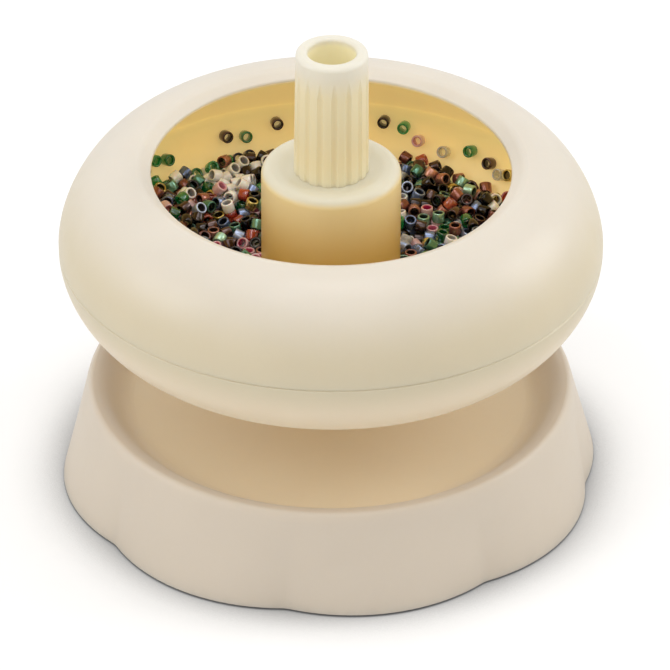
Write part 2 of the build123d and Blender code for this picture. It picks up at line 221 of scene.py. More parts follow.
class SpinnerBeads(bpy.types.PropertyGroup):
    """Sizes and numbers of the poured beads."""

    width: length("Bead width", "Across a bead", 1.6 * mm)
    height: length("Bead length", "Along a bead's hole", 1.3 * mm)
    bore: length("Bead hole", "Across a bead's hole", 0.98 * mm)
    edge: length("Bead edge", "How far a bead's rim is melted round", 0.12 * mm)
    sides: bpy.props.IntProperty(name="Bead sides", description="Flats round a bead", default=14, min=8)
    packing: share("Packing", "Share of the heap that the beads fill, their holes counted", 0.6)
    spare: length("Spare depth", "How much deeper than the heap the bowl is poured at first", 1.4 * mm)
    proud: length("Standing proud", "How far above the heap's mean top a bead's middle may lie", -0.35 * mm)
    first_layer: length("First layer", "How high beads' middles may lie on the column's foot", 1.0 * mm)
    frames: bpy.props.IntProperty(name="Frames", description="How long the beads settle", default=40, min=1)
    seed: bpy.props.IntProperty(name="Seed", description="Start of the bead mix", default=7)


class SpinnerStudio(bpy.types.PropertyGroup):
    """The camera, the lamps and the floor."""

    target: bpy.props.FloatVectorProperty(
        name="Target", description="Point on the axle that the camera is measured from",
        default=(0.0, 0.0, 0.0338), subtype="TRANSLATION", size=3,
    )
    azimuth: angle("Azimuth", "Where the camera stands round the axle", -13.3)
    elevation: angle("Elevation", "How high the camera looks down from", 32.07)
    distance: length("Distance", "From the camera to the target", 0.6185)
    pitch: angle("Pitch", "How far below the target the camera looks", 1.131)
    yaw: angle("Yaw", "How far right of the target the camera looks", 0.054)
    roll: angle("Roll", "How far the camera leans", 0.33)
    lens: bpy.props.FloatProperty(name="Lens", description="Focal length", default=265.9, unit="CAMERA")
    room: share("Room light", "Even light from all round", 0.72, 4.0)
    ceiling: watts("Ceiling lamp", "Power of the lamp above", 0.5)
    left: watts("Left lamp", "Power of the lamp on the left", 0.6)
    right: watts("Right lamp", "Power of the lamp on the right", 0.85)
    sparkle: watts("Small lamp", "Power of the small lamp that makes the beads sparkle", 0.14)
    front: watts("Front lamp", "Power of the lamp high in front", 0.25)
    floor: colour("Floor", "The pale sheet under the spinner", 240, 240, 240)
    floor_lift: share("Floor lift", "How much whiter the camera sees the floor near the spinner", 0.16)
    far_lift: share("Far lift", "How much whiter the camera sees the floor where the lamps end", 0.42)
    # The contact shadow is painted into the floor's colour and lift
    contact: length("Contact shadow", "How far the close shadow round the foot reaches", 8.0 * mm)
    floor_reach: length("Floor reach", "From the axle to the floor's edge", 3.0)


class Wire:
    """A shader socket that takes part in sums: each operator adds the node that works it out."""

    def __init__(self, tree, socket=None):
        self.tree = tree
        self.socket = socket

    @staticmethod
    def find(sockets, key):
        """A node's socket by number, identifier or name."""
        if isinstance(key, int):
            return sockets[key]
        return next((s for s in sockets if s.identifier == key), None) or sockets[key]

    def node(self, kind, settings=None, values=None, output=0):
        """Add a node: its settings, then its sockets' values or wires. Gives the wire of one output."""
        made = self.tree.nodes.new(kind)
        for name, value in (settings or {}).items():
            if name == "stops":
                ramp = made.color_ramp
                while len(ramp.elements) < len(value):
                    ramp.elements.new(1.0)
                for element, (place, tone) in zip(ramp.elements, value):
                    element.position = place
                    element.color = (*tone, 1.0)
            else:
                setattr(made, name, value)
        for key, value in (values or {}).items():
            socket = self.find(made.inputs, key)
            if isinstance(value, Wire):
                self.tree.links.new(value.socket, socket)
            elif hasattr(value, "__len__") and socket.type == "RGBA":
                socket.default_value = (*value[:3], 1.0)
            else:
                socket.default_value = value
        return Wire(self.tree, self.find(made.outputs, output) if made.outputs else None)

    def beside(self, output):
        """Another output of the node that this wire comes from."""
        return Wire(self.tree, self.find(self.socket.node.outputs, output))

    def sum(self, operation, *terms, **settings):
        """A Math node on values."""
        return self.node("ShaderNodeMath", dict(settings, operation=operation), dict(enumerate(terms)))

    def __add__(self, other):
        return self.sum("ADD", self, other)

    def __radd__(self, other):
        return self.sum("ADD", other, self)

    def __sub__(self, other):
        return self.sum("SUBTRACT", self, other)

    def __rsub__(self, other):
        return self.sum("SUBTRACT", other, self)

    def __mul__(self, other):
        return self.sum("MULTIPLY", self, other)

    def __rmul__(self, other):
        return self.sum("MULTIPLY", other, self)

    def __truediv__(self, other):
        return self.sum("DIVIDE", self, other)

    def __pow__(self, other):
        return self.sum("POWER", self, other)

    def __abs__(self):
        return self.sum("ABSOLUTE", self)

    def held(self):
        """The value kept between 0 and 1."""
        return self.sum("ADD", self, 0.0, use_clamp=True)

    def step(self, start, end):
        """A smooth step from 0 at start to 1 at end."""
        return self.node(
            "ShaderNodeMapRange",
            {"interpolation_type": "SMOOTHSTEP"},
            {"Value": self, "From Min": start, "From Max": end},
        )

    def between(self, low, high):
        """A value from low to high as this one goes from 0 to 1."""
        return low + self * (high - low)

    def tint(self, first, second):
        """A colour from first to second as this value goes from 0 to 1."""
        values = {"Factor_Float": self, "A_Color": first, "B_Color": second}
        return self.node("ShaderNodeMix", {"data_type": "RGBA"}, values, "Result_Color")

    def dimmed(self, amount):
        """This colour times a value."""
        grey = self.node("ShaderNodeCombineColor", None, {"Red": amount, "Green": amount, "Blue": amount})
        settings = {"data_type": "RGBA", "blend_type": "MULTIPLY"}
        values = {"Factor_Float": 1.0, "A_Color": self, "B_Color": grey}
        return self.node("ShaderNodeMix", settings, values, "Result_Color")


class Finish(Wire):
    """A material under construction, with the places and patterns that its wires start from."""

    def __init__(self, name):
        self.material = bpy.data.materials.new(name)
        self.material.use_nodes = True
        self.material.node_tree.nodes.clear()
        super().__init__(self.material.node_tree)
        self.place = self.node("ShaderNodeTexCoord", None, None, "Object")
        self.facing = self.place.beside("Normal")

    def axes(self, vector):
        """The three parts of a vector."""
        x = self.node("ShaderNodeSeparateXYZ", None, {"Vector": vector})
        return x, x.beside("Y"), x.beside("Z")

    def noise(self, spacing, detail=2.0, roughness=0.5, stretch=(1.0, 1.0, 1.0)):
        """Cloudy variation from 0 to 1 whose lumps are about that far apart."""
        place = self.place
        if stretch != (1.0, 1.0, 1.0):
            place = self.node("ShaderNodeMapping", None, {"Vector": place, "Scale": stretch})
        values = {"Vector": place, "Scale": 1 / spacing, "Detail": detail, "Roughness": roughness}
        return self.node("ShaderNodeTexNoise", None, values)

    def from_axle(self):
        """How far the point is from the axle, and how high it is."""
        x, y, z = self.axes(self.place)
        return (x * x + y * y) ** 0.5, z

    def relief(self, height, depth):
        """The surface's normal with a height pattern of that depth pressed into it."""
        return self.node("ShaderNodeBump", None, {"Height": height, "Strength": 1.0, "Distance": depth})

    def surface(self, **values):
        """End the material with a Principled shader. Names with _ stand for the socket's words."""
        named = {name.replace("_", " "): value for name, value in values.items()}
        shader = self.node("ShaderNodeBsdfPrincipled", None, named)
        self.node("ShaderNodeOutputMaterial", None, {"Surface": shader})
        return self.material


def dimmer(tone, amount):
    """A colour times a number."""
    return tuple(amount * part for part in tone)


def dress(material, *names):
    """Put one material on CAD nodes."""
    for name in names:
        mesh = nodes[name].data
        mesh.materials.clear()
        mesh.materials.append(material)


def plastic(finish, tone, roughness, look, **more):
    """Ends a moulded plastic: faint flow clouds, a soft skin and small rubbed patches over a given tone."""
    clouds = finish.noise(cloud_spacing, 3.0)
    specks = finish.noise(speck_spacing, 1.0)
    skin = finish.noise(skin_spacing)
    rubbed = finish.noise(rub_spacing, 4.0, 0.6).step(*rubbed_range)
    tone = tone.dimmed(clouds.between(*cloud_tones) * specks.between(*speck_tones))
    return finish.surface(
        Base_Color=tone,
        Roughness=(roughness + rubbed_dulling * rubbed + cloud_dulling * (clouds - 0.5)).held(),
        Normal=finish.relief(skin, skin_depth),
        Subsurface_Weight=look.glow,
        Subsurface_Radius=light_spread,
        Subsurface_Scale=look.glow_depth,
        IOR=plastic_bending,
        **more,
    )


def lit_through(finish, tone, thin, light, look):
    """Ends a glossy plastic whose thin places glow with painted light, an emission in the colour of the
    light that comes through them.
    """
    glow = thin.tint(no_light, light)
    return plastic(
        finish, tone, look.gloss, look, Emission_Color=glow, Emission_Strength=look.wall_light
    )


def below(height, depths):
    """The heights that lie those depths below a height."""
    return [height - depth for depth in depths]


def bowl_finish(name, look, rises):
    """The bowl's plastic: pale outside, with its side painted darker and its underside painted warmer as
    light falls on them, and a painted light line along the seam; golden inside, painted light and a glow
    that stand in for the light coming through the wall. rises is 1 for its upper shell, -1 for its lower.
    """
    finish = Finish(name)
    x, y, z = finish.axes(finish.place)
    nx, ny, nz = finish.axes(finish.facing)
    radius = (x * x + y * y) ** 0.5
    outward = (nx * x + ny * y) / (radius + 0.001 * mm)
    # Painted light: the inner faces are painted golden, and glow, for the light that comes through the wall
    inside = (0.0 - (outward + rises * nz)).step(*wall_facing)
    lip = z.step(*below(bowl_top, lip_below_top))
    joint = radius.step(*below(bowl_radius, joint_from_edge))
    inside = inside * (1 - lip) * (1 - joint)
    # Painted shade and light: the side is painted darker and yellower below the top, and the underside
    # warmer
    under = (seam_height - z).step(0.0, under_below_seam)
    upper = z.step(seam_height + side_above_seam, bowl_top - side_below_top)
    outer = under.tint(upper.tint(tuple(look.bowl_side_painted_shade), tuple(look.bowl)), tuple(look.bowl_under_painted_light))
    # Painted light: a faint lighter line along the seam
    seam = 1 - abs(z - seam_height).step(*seam_line)
    tone = inside.tint(outer.dimmed(1 + seam_painted_light * seam), tuple(look.bowl_inside_painted_light))
    return lit_through(finish, tone, inside, tuple(look.bowl_inside_painted_light), look)


def base_finish(look):
    """The base's plastic: painted light makes it paler and warmer from its crest in over the dish, under the
    bowl's shade; it is dusty along the foot.
    """
    finish = Finish("base_ivory")
    radius, z = finish.from_axle()
    rise = z / base_top
    # Painted light: over the dish, in the bowl's shade, the base is painted paler and warmer
    dish_painted_light_mask = (1 - (radius / base_radius).step(*dish_radius_shares)) * rise.step(*dish_height_shares)
    dust = (1 - rise.step(*dust_height_shares)) * finish.noise(dust_spacing, 3.0).step(*dust_range)
    tone = dish_painted_light_mask.tint(tuple(look.base), tuple(look.dish))
    tone = tone.dimmed(1 - dust_loss * dust)
    return plastic(finish, tone, look.base_gloss, look)


def hub_finish(look):
    """The column's plastic, with painted light and shade: its side painted paler and golden, and painted
    deeper golden towards its foot, where light has to come down past the beads.
    """
    finish = Finish("hub_ivory")
    height = finish.axes(finish.place)[2]
    upward = finish.axes(finish.facing)[2]
    # Painted light and shade: the side is painted paler and golden near the top and deeper golden towards
    # the foot
    depth = 1 - height.step(heap_top, hub_top)
    side = 1 - upward.step(*hub_side_facing)
    tone = side.tint(tuple(look.hub), depth.tint(tuple(look.hub_side_painted_light), tuple(look.hub_foot_painted_shade)))
    return plastic(finish, tone, look.gloss, look)


def knob_finish(look):
    """The finger knob's plastic, with painted light and shade: its plain top painted paler, as lit from
    above; its hole painted golden with a glow of painted light for the light through its thin wall; painted
    shade greying the flutes' floors.
    """
    finish = Finish("knob_ivory")
    radius, z = finish.from_axle()
    # Painted light and shade: the plain top is painted paler, the hole golden and glowing, the flutes'
    # floors darker
    upper = z.step(*below(knob_top, plain_below_top))
    under_rim = 1 - z.step(*below(knob_top, hole_below_top))
    hole = (1 - radius.step(*below(knob_radius, hole_from_edge))) * under_rim
    flute_shade_mask = (1 - radius.step(*below(knob_radius, flutes_from_edge))) * (1 - hole)
    tone = upper.tint(tuple(look.knob), tuple(look.knob_top))
    tone = hole.tint(tone.dimmed(1 - flute_painted_shade * flute_shade_mask), tuple(look.knob_hole_painted_light))
    light = dimmer(look.knob_hole_painted_light, hole_light_share)
    return lit_through(finish, tone, hole, light, look)


class SPINNER_OT_mould(bpy.types.Operator):
    """Give the shells, hub, knob and base their moulded ivory plastic, with painted light and shade"""

    bl_idname = "spinner.mould"
    bl_label = "Mould the plastics"

    def execute(self, context):
        look = context.scene.spinner_plastics
        dress(bowl_finish("bowl_upper_ivory", look, 1), "bowl_upper_shell")
        dress(bowl_finish("bowl_lower_ivory", look, -1), "bowl_lower_shell")
        dress(base_finish(look), "base_shell", "spindle_post")
        dress(hub_finish(look), "hub_column", "bearing_retainer")
        dress(knob_finish(look), "finger_knob")
        return {"FINISHED"}


# Where the metals, the nylon and the rubber are dull, dusty or bluish: the start and the end of each fade
dull_range = (0.5, 0.75)
zinc_bloom_range = (0.35, 0.75)
rubber_bloom_range = (0.45, 0.8)

# What each fade or grain makes of their tone
dull_tone = 0.86
zinc_bloom_tone = (0.8, 0.9, 1.0)
nylon_grain_tone = 0.8
rubber_dust_tone = 1.5

# The steels' rings: how little their noise changes round the axle, and how far apart the rings lie
ring_stretch = (0.04, 0.04, 1.0)
axle_rings = 0.12 * mm
bearing_rings = 0.2 * mm

# How rough they are. The steels have a least value, what the rings add and what the dull patches add; the
# others have a least value and what their grain or bloom adds.
axle_roughness = 0.22
bearing_roughness = 0.1
ring_dulling = 0.12
steel_dulling = 0.08
zinc_roughness = (0.28, 0.2)
nylon_roughness = (0.42, 0.1)
rubber_roughness = (0.72, 0.15)


def turned_steel(name, tone, roughness, spacing):
    """Steel with the fine rings that turning or grinding leaves, and a few dull patches."""
    finish = Finish(name)
    rings = finish.noise(spacing, stretch=ring_stretch)
    dull = finish.noise(dull_spacing, 3.0).step(*dull_range)
    return finish.surface(
        Base_Color=dull.tint(tuple(tone), dimmer(tone, dull_tone)),
        Metallic=1.0,
        Roughness=(roughness + ring_dulling * rings + steel_dulling * dull).held(),
        Normal=finish.relief(rings, metal_grain_depth),
    )


def plated_zinc(tone):
    """Bright zinc plate: a bluish bloom in patches and a finely pitted skin."""
    finish = Finish("zinc_plate")
    bloom = finish.noise(bloom_spacing, 4.0).step(*zinc_bloom_range)
    pits = finish.noise(pit_spacing)
    bluish = tuple(level * kept for level, kept in zip(tone, zinc_bloom_tone))
    least, more = zinc_roughness
    return finish.surface(
        Base_Color=bloom.tint(tuple(tone), bluish),
        Metallic=1.0,
        Roughness=(least + more * bloom).held(),
        Normal=finish.relief(pits, metal_grain_depth),
    )


def moulded_nylon(tone):
    """The cages' nylon: a waxy brown with a grain."""
    finish = Finish("cage_nylon")
    grain = finish.noise(nylon_spacing, 3.0)
    least, more = nylon_roughness
    return finish.surface(
        Base_Color=grain.tint(tuple(tone), dimmer(tone, nylon_grain_tone)),
        Roughness=(least + more * grain).held(),
        Normal=finish.relief(grain, nylon_depth),
    )


def matt_rubber(tone):
    """The pads' rubber: dark, matt, with a dusty bloom and a fine grain."""
    finish = Finish("pad_rubber")
    grain = finish.noise(rubber_spacing, 3.0)
    bloom = finish.noise(rubber_bloom_spacing, 3.0).step(*rubber_bloom_range)
    least, more = rubber_roughness
    return finish.surface(
        Base_Color=bloom.tint(tuple(tone), dimmer(tone, rubber_dust_tone)),
        Roughness=(least + more * grain).held(),
        Normal=finish.relief(grain, rubber_depth),
    )


class SPINNER_OT_fit_metals(bpy.types.Operator):
    """Give the axle, bearings, nut, washer, screws, cages and pads their materials"""

    bl_idname = "spinner.fit_metals"
    bl_label = "Fit the metals and rubber"

    def execute(self, context):
        look = context.scene.spinner_metals
        finishes = {
            "axle_steel": turned_steel("axle_ground_steel", look.steel, axle_roughness, axle_rings),
            "bearing_steel": turned_steel(
                "bearing_polished_steel", look.bearing, bearing_roughness, bearing_rings
            ),
            "zinc_steel": plated_zinc(look.zinc),
            "cage_plastic": moulded_nylon(look.nylon),
            "foot_rubber": matt_rubber(look.rubber),
        }
        for part in frame["record"]["subparts"]:
            if part["material_slot"] in finishes:
                dress(finishes[part["material_slot"]], part["node"])
        return {"FINISHED"}


# The bead mix: share of the whole, kind of glass, and its colours in screen levels from the darkest to the
# palest. Clear kinds let light through, lined ones have a coloured hole.
bead_mix = {
    "black_brown": (0.24, "metallic", ((16, 9, 9), (40, 24, 22), (84, 58, 52))),
    "copper_brown": (0.13, "satin", ((108, 60, 50), (156, 98, 84), (200, 146, 128))),
    "teal": (0.13, "satin", ((76, 130, 108), (122, 168, 144), (170, 208, 180))),
    "slate_blue": (0.11, "satin", ((84, 100, 136), (126, 142, 178), (176, 188, 212))),
    "cream_white": (0.1, "pearl", ((244, 239, 231), (252, 250, 246), (255, 255, 253))),
    "pink_lined": (0.08, "lined", ((206, 44, 96), (238, 108, 142), (248, 170, 190))),
    "leaf_green": (0.08, "clear", ((0, 104, 50), (4, 140, 68), (46, 188, 108))),
    "olive_gold": (0.05, "metallic", ((140, 116, 44), (186, 164, 82), (216, 198, 124))),
    "brick_red": (0.04, "clear", ((190, 52, 30), (222, 84, 52), (238, 130, 92))),
    "crystal": (0.04, "clear", ((226, 222, 212), (240, 238, 232), (250, 250, 248))),
}

# The makes of bead glass. rough: the least roughness and what a bead's own number adds. coat: how strong the
# melted skin is. metal, milk, clear: how metallic, milky and clear the glass is. hole: how much painted
# shade darkens the hole.
bead_makes = {
    "metallic": {"rough": (0.1, 0.12), "coat": 0.8, "metal": 0.85, "milk": 0.0, "clear": 0.0, "hole": 0.8},
    "satin": {"rough": (0.16, 0.14), "coat": 0.4, "metal": 0.6, "milk": 0.0, "clear": 0.0, "hole": 0.85},
    "pearl": {"rough": (0.12, 0.1), "coat": 0.8, "metal": 0.0, "milk": 0.2, "clear": 0.0, "hole": 0.6},
    "lined": {"rough": (0.05, 0.06), "coat": 0.8, "metal": 0.0, "milk": 0.0, "clear": 0.3, "hole": 0.1},
    "clear": {"rough": (0.05, 0.06), "coat": 0.8, "metal": 0.0, "milk": 0.0, "clear": 0.6, "hole": 0.2},
}
glass_bending = 1.6
milk_depth = 0.5 * mm

# How clouds vary the tone in a satin or a pearl bead, and how much it differs from bead to bead in satin,
# where the bead's own number is run through that many times
satin_cloud_tones = (0.88, 1.1)
pearl_cloud_tones = (0.94, 1.02)
satin_sheen_tones = (0.92, 1.08)
satin_sheen_runs = 7.0

# Lined beads: the glass round the coloured hole, and how much of the hole's colour shows through it
lined_glass = shade(244, 216, 214)
lined_share = 0.25

# Where a kind lies thicker: its place on the bed in millimetres, how wide the patch is and how much thicker
bead_patches = {
    "cream_white": (((-8.5, 24.0), 4.5, 16.0), ((-7.5, 20.0), 3.0, 8.0)),
    "leaf_green": (((-16.0, 26.0), 4.0, 12.0), ((-10.0, 28.5), 3.0, 6.0)),
    "black_brown": (((-5.0, 29.5), 5.0, 3.0), ((17.0, 12.0), 7.0, 1.0)),
    "pink_lined": (((-15.0, 20.0), 6.0, 2.5),),
    "slate_blue": (((14.5, 7.5), 6.0, 2.0),),
}

# Beads that cling to the bowl's inner wall above the heap: degrees about the axle, height in millimetres
# and kind
clinging_beads = (
    (90.0, 32.2, "black_brown"), (103.0, 31.6, "black_brown"), (98.0, 31.0, "leaf_green"),
    (64.0, 32.5, "black_brown"), (59.0, 32.1, "leaf_green"), (55.0, 30.6, "pink_lined"),
    (48.0, 30.0, "crystal"), (41.0, 31.2, "leaf_green"), (35.0, 30.6, "black_brown"),
    (31.0, 29.9, "crystal"), (28.0, 30.4, "olive_gold"), (124.0, 32.0, "leaf_green"),
    (128.0, 31.4, "leaf_green"), (120.0, 31.2, "leaf_green"),
)


def bead_glass(kind, make, tones):
    """One kind of bead glass. Each bead takes its own tone; lined beads are coloured in their hole, and
    every hole is darkened with painted shade.
    """
    finish = Finish("bead_" + kind)
    own = finish.node("ShaderNodeNewGeometry", None, None, "Random Per Island")
    stops = [(position, shade(*tone)) for position, tone in zip((0.0, 0.5, 1.0), tones)]
    tone = finish.node("ShaderNodeValToRGB", {"stops": stops}, {"Fac": own})
    bore = finish.node("ShaderNodeAttribute", {"attribute_name": "bead_bore"}, None, "Fac")
    cloud = finish.noise(glass_cloud_spacing)
    if make == "satin":
        runs = own * satin_sheen_runs
        sheen = runs.sum("FRACT", runs)
        tone = tone.dimmed(cloud.between(*satin_cloud_tones) * sheen.between(*satin_sheen_tones))
    elif make == "pearl":
        tone = tone.dimmed(cloud.between(*pearl_cloud_tones))
    elif make == "lined":
        tone = (lined_share + (1 - lined_share) * bore).tint(lined_glass, tone)
    glass = bead_makes[make]
    least, more = glass["rough"]
    return finish.surface(
        # Painted shade: the hole is darkened by the make's hole share
        Base_Color=tone.dimmed(1 - glass["hole"] * bore),
        Roughness=(least + more * own).held(),
        Metallic=glass["metal"],
        Subsurface_Weight=glass["milk"],
        Subsurface_Scale=milk_depth,
        Transmission_Weight=glass["clear"],
        Coat_Weight=glass["coat"],
        IOR=glass_bending,
    )


def bead_mesh(look, scale):
    """One bead: a short tube of glass with a melted rim, and a bead_bore value that marks its hole."""
    outer = look.width / 2 * scale
    inner = look.bore / 2 * scale
    half = look.height / 2 * scale
    edge = look.edge * scale
    soft = edge * (1 - math.sqrt(0.5))
    section = [
        (outer, -half + edge), (outer, half - edge),
        (outer - soft, half - soft), (outer - edge, half),
        (inner + soft, half - soft), (inner, half - edge),
        (inner, -half + edge), (inner + soft, -half + soft),
        (outer - edge, -half), (outer - soft, -half + soft),
    ]
    made = bmesh.new()
    marks = []
    rows = []
    for step in range(look.sides):
        turn = 2 * math.pi * step / look.sides
        row = []
        for radius, height in section:
            row.append(made.verts.new((radius * math.cos(turn), radius * math.sin(turn), height)))
            marks.append(1.0 if radius < inner + edge else 0.0)
        rows.append(row)
    for row, following in zip(rows, rows[1:] + rows[:1]):
        for start in range(len(section)):
            end = (start + 1) % len(section)
            made.faces.new((row[start], following[start], following[end], row[end]))
    for face in made.faces:
        face.smooth = True
    mesh = bpy.data.meshes.new("one_bead")
    made.to_mesh(mesh)
    made.free()
    attribute = mesh.attributes.new("bead_bore", "FLOAT", "POINT")
    attribute.data.foreach_set("value", marks)
    return mesh


# The trough that the beads settle in: how many levels and sides it has, and how far above the heap's floor
# and below the bowl's top its wall starts and ends
trough_levels = 18
trough_sides = 96
trough_above_bed = 0.05 * mm
trough_below_mouth = 3.2 * mm

# Where the column is measured: its side that far below its top, its foot at that share of its radius
column_below_top = 3.0 * mm
foot_share = 0.95

# Where the heap's top is looked for when it ends short: how many steps in, each a share of the way
inward_steps = 12
inward_step = 0.01

# How the beads start, in beads' widths: how far apart, how far from the column and from the wall, and how
# high above the ground. row_share is how far apart the rows are beside the beads in a row.
start_pitch = 1.3
column_gap = 0.6
wall_gap = 0.7
start_lift = 0.75
row_share = math.sqrt(0.75)

# How the beads and the trough behave while they settle, a thousand times too large, where the solver is at
# its best
settling_scale = 1 / mm
settling_gravity = (0.0, 0.0, -120.0)
settling_world = {"substeps_per_frame": 8, "solver_iterations": 10}
bead_body = {
    "collision_shape": "CYLINDER",
    "use_margin": True,
    "collision_margin": 0.01,
    "friction": 0.35,
    "restitution": 0.05,
    "linear_damping": 0.15,
    "angular_damping": 0.25,
    "mass": 0.01,
}
trough_body = {
    "type": "PASSIVE",
    "collision_shape": "MESH",
    "friction": 0.35,
    "use_margin": True,
    "collision_margin": 0.02,
}

# How far a clinging bead's middle is from the wall, in its heights, and how far other beads keep from it, in
# its widths
clinging_lift = 0.52
clinging_gap = 0.85

# How far the bowl's inner wall is from the axle, for each height that has been asked for
wall_radii = {}


def wall_point(height, turn):
    """The point and the inward normal of the bowl's inner wall at a height and an angle about the axle."""
    shell = nodes["bowl_upper_shell" if height > seam_height else "bowl_lower_shell"]
    outward = Vector((math.cos(turn), math.sin(turn), 0.0))
    start = Vector((0.0, 0.0, height)) + outward * hub_foot_radius
    hit, point, normal, face = shell.ray_cast(start, outward)
    if not hit:
        raise RuntimeError("the bowl has no wall at that height")
    return point, normal


def column_radius():
    """How far the middle column's side is from the axle, above its foot."""
    outer = Vector((bowl_radius / 2, 0.0, hub_top - column_below_top))
    hit, point, normal, face = nodes["hub_column"].ray_cast(outer, Vector((-1.0, 0.0, 0.0)))
    if not hit:
        raise RuntimeError("the column has no side at that height")
    return point.x


def trough():
    """The inside of the bowl round the hub, turned up as one sheet for the beads to settle in."""
    scale = settling_scale
    foot = hub_foot_radius
    step_height = drop_height(("hub_column",), foot_share * foot, 0.0)
    section = [
        (column_radius(), bowl_top), (column_radius(), step_height), (foot, step_height), (foot, heap_floor),
    ]
    depth = bowl_top - trough_below_mouth - heap_floor
    for step in range(trough_levels + 1):
        height = heap_floor + trough_above_bed + depth * step / trough_levels
        section.append((wall_radius(height), height))
    made = bmesh.new()
    rows = []
    for step in range(trough_sides):
        turn = 2 * math.pi * step / trough_sides
        rows.append([
            made.verts.new((r * scale * math.cos(turn), r * scale * math.sin(turn), z * scale))
            for r, z in section
        ])
    for row, following in zip(rows, rows[1:] + rows[:1]):
        for start in range(len(section) - 1):
            made.faces.new((row[start], following[start], following[start + 1], row[start + 1]))
    mesh = bpy.data.meshes.new("bead_trough")
    made.to_mesh(mesh)
    made.free()
    return mesh


def drop_height(names, x, y):
    """The height at which something dropped at x, y from the seam lands on any of those nodes, or None."""
    landings = []
    for name in names:
        start = Vector((x, y, seam_height))
        hit, point, normal, face = nodes[name].ray_cast(start, Vector((0.0, 0.0, -1.0)))
        if hit:
            landings.append(point.z)
    return max(landings, default=None)


def heap_height(x, y):
    """Height of the plain heap's top at a point, or at the nearest point further in where it ends short."""
    for step in range(inward_steps):
        inward = 1 - inward_step * step
        height = drop_height(("bead_fill",), x * inward, y * inward)
        if height is not None:
            return height
    raise RuntimeError("the plain heap doesn't reach that far")


def bead_starts(look, rng):
    """Where the beads start: loose columns round the hub, as many in each as the heap is deep there."""
    pitch = start_pitch * look.width
    row_pitch = pitch * row_share
    volume = math.pi * (look.width / 2) ** 2 * look.height
    layer = volume / (look.packing * pitch * row_pitch)
    reach = int(bowl_radius / row_pitch) + 1
    spare = look.spare
    starts = []
    for row in range(-reach, reach + 1):
        for column in range(-reach, reach + 1):
            x = (column + 0.5 * (row % 2)) * pitch
            y = row * row_pitch
            radius = math.hypot(x, y)
            widest = wall_radius(seam_height) - wall_gap * look.width
            if not column_radius() + column_gap * look.width < radius < widest:
                continue
            ground = drop_height(("bowl_lower_shell", "hub_column"), x, y)
            layers = (heap_height(x, y) + spare - ground) / layer
            for step in range(int(layers + rng.random())):
                height = ground + start_lift * look.width + step * pitch
                if radius < wall_radius(height) - wall_gap * look.width:
                    starts.append((x, y, height))
    return starts


def wall_radius(height):
    """How far the bowl's inner wall is from the axle at a height."""
    if height not in wall_radii:
        wall_radii[height] = wall_point(height, 0.0)[0].x
    return wall_radii[height]


def any_turn(rng):
    """A turn that points a bead in a random direction."""
    axis = Vector([rng.gauss(0, 1) for part in range(3)]).normalized()
    return axis.to_track_quat("Z", "Y").to_matrix().to_4x4()


def change(thing, values):
    """Set several properties of one thing, in that order."""
    for name, value in values.items():
        setattr(thing, name, value)


def loose_beads(look, starts, turns, pile):
    """The beads where they start, as objects of their own in the pile."""
    mesh = bead_mesh(look, settling_scale)
    beads = []
    for number, (start, turn) in enumerate(zip(starts, turns)):
        bead = bpy.data.objects.new("settling_%d" % number, mesh)
        bead.matrix_world = Matrix.Translation(Vector(start) * settling_scale) @ turn
        pile.objects.link(bead)
        beads.append(bead)
    return beads


def make_heavy(look, pile, beads, bowl):
    """Give the beads their weight and friction in the fixed trough."""
    bpy.ops.rigidbody.world_add()
    world = bpy.context.scene.rigidbody_world
    world.collection = pile
    change(world, settling_world)
    world.point_cache.frame_start = 1
    world.point_cache.frame_end = look.frames
    for piece in [*beads, bowl]:
        piece.select_set(True)
    bpy.context.view_layer.objects.active = bowl
    bpy.ops.rigidbody.objects_add(type="ACTIVE")
    for bead in beads:
        change(bead.rigid_body, bead_body)
    change(bowl.rigid_body, trough_body)


def come_to_rest(look, beads):
    """Run the settling and give each bead's matrix at its end, in metres."""
    scene = bpy.context.scene
    scene.use_gravity = True
    scene.gravity = settling_gravity
    for number in range(1, look.frames + 1):
        scene.frame_set(number)
    depsgraph = bpy.context.evaluated_depsgraph_get()
    rests = []
    for bead in beads:
        rest = bead.evaluated_get(depsgraph).matrix_world.copy()
        rest.translation = rest.translation * mm
        rests.append(rest)
    return rests


def settle(look, rng):
    """Pour the beads and let them come to rest. Gives a matrix for each, in metres."""
    starts = bead_starts(look, rng)
    turns = [any_turn(rng) for start in starts]
    scene = bpy.context.scene
    pile = bpy.data.collections.new("bead_settling")
    scene.collection.children.link(pile)
    beads = loose_beads(look, starts, turns, pile)
    bowl = bpy.data.objects.new("settling_trough", trough())
    pile.objects.link(bowl)
    make_heavy(look, pile, beads, bowl)
    rests = come_to_rest(look, beads)
    bpy.ops.rigidbody.world_remove()
    for piece in [*beads, bowl]:
        bpy.data.objects.remove(piece)
    bpy.data.collections.remove(pile)
    scene.frame_set(1)
    return rests


def levelled(look, rests):
    """The beads that stay when the heap is levelled to its shape, as a needle and a few spins leave it."""
    kept = []
    for rest in rests:
        x, y, z = rest.translation
        top = heap_height(x, y) + look.proud
        foot = drop_height(("hub_column",), x, y)
        if foot is not None:
            top = max(top, foot + look.first_layer)
        if heap_floor < z < min(top, seam_height):
            kept.append(rest)
    return kept


